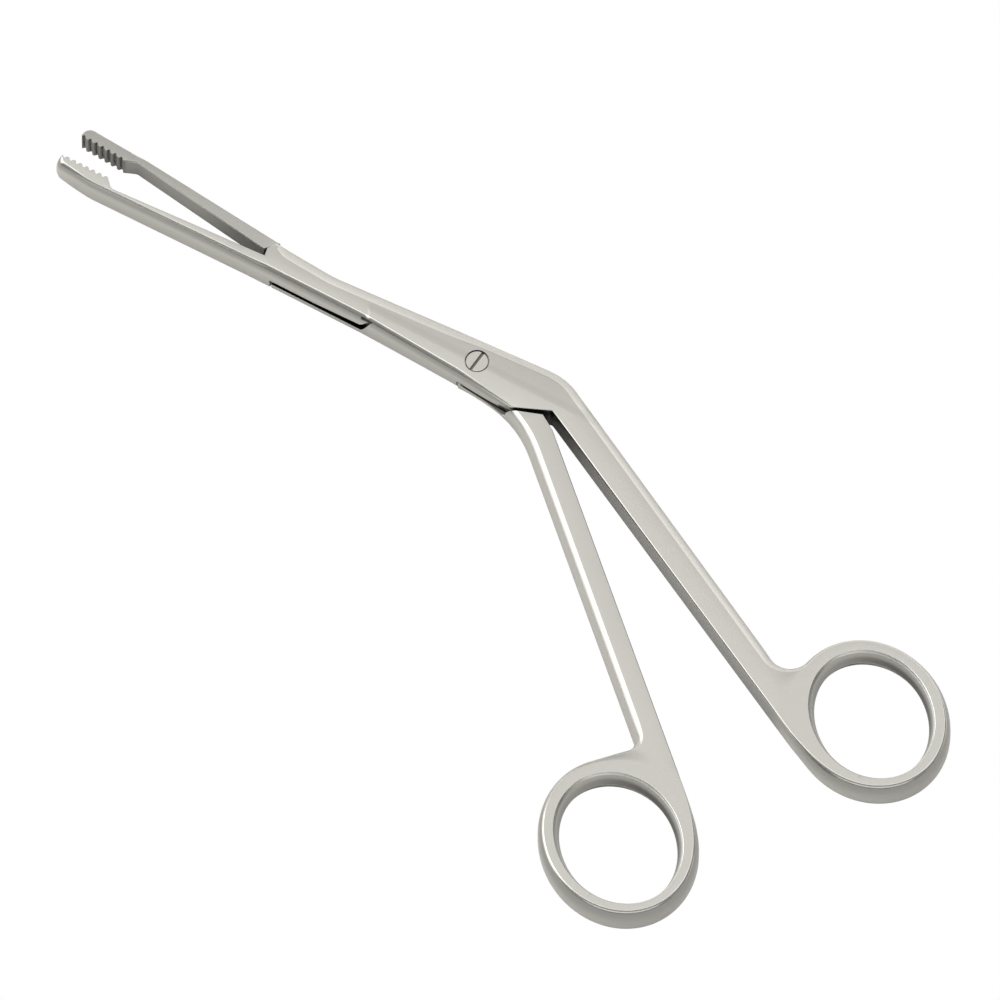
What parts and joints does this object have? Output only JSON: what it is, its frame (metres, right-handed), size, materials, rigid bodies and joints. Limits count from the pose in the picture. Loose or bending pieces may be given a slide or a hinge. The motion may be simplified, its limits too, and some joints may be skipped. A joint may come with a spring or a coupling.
{
  "type": "nasal dressing forceps",
  "caption": "Angled steel dressing forceps with finger rings, slim toothed jaws and a slotted pivot screw.",
  "frame": {"origin": "centre of the pivot screw's tail face, in the plane of the rear faces on which the forceps lie", "axes": "+X from the pivot towards the finger rings along the closed jaws' line, +Y up across the shaft, +Z along the pivot axis out of the slotted screw head"},
  "size_m": [0.1981, 0.0923, 0.006],
  "materials": {
    "shank_steel": "satin-brushed stainless steel with fine lengthwise grain",
    "screw_steel": "turned stainless steel, slightly darker than the shanks"
  },
  "bodies": {
    "lower shank": {"lower_jaw_shank": "shank_steel", "pivot_screw": "screw_steel"},
    "upper shank": {"upper_jaw_shank": "shank_steel"}
  },
  "joints": [
    {"name": "jaw pivot", "type": "hinge", "parent": "lower shank", "child": "upper shank", "pos_m": [0, 0, 0], "axis": [0, 0, 1], "range_deg": [-4, 3.6]}
  ]
}
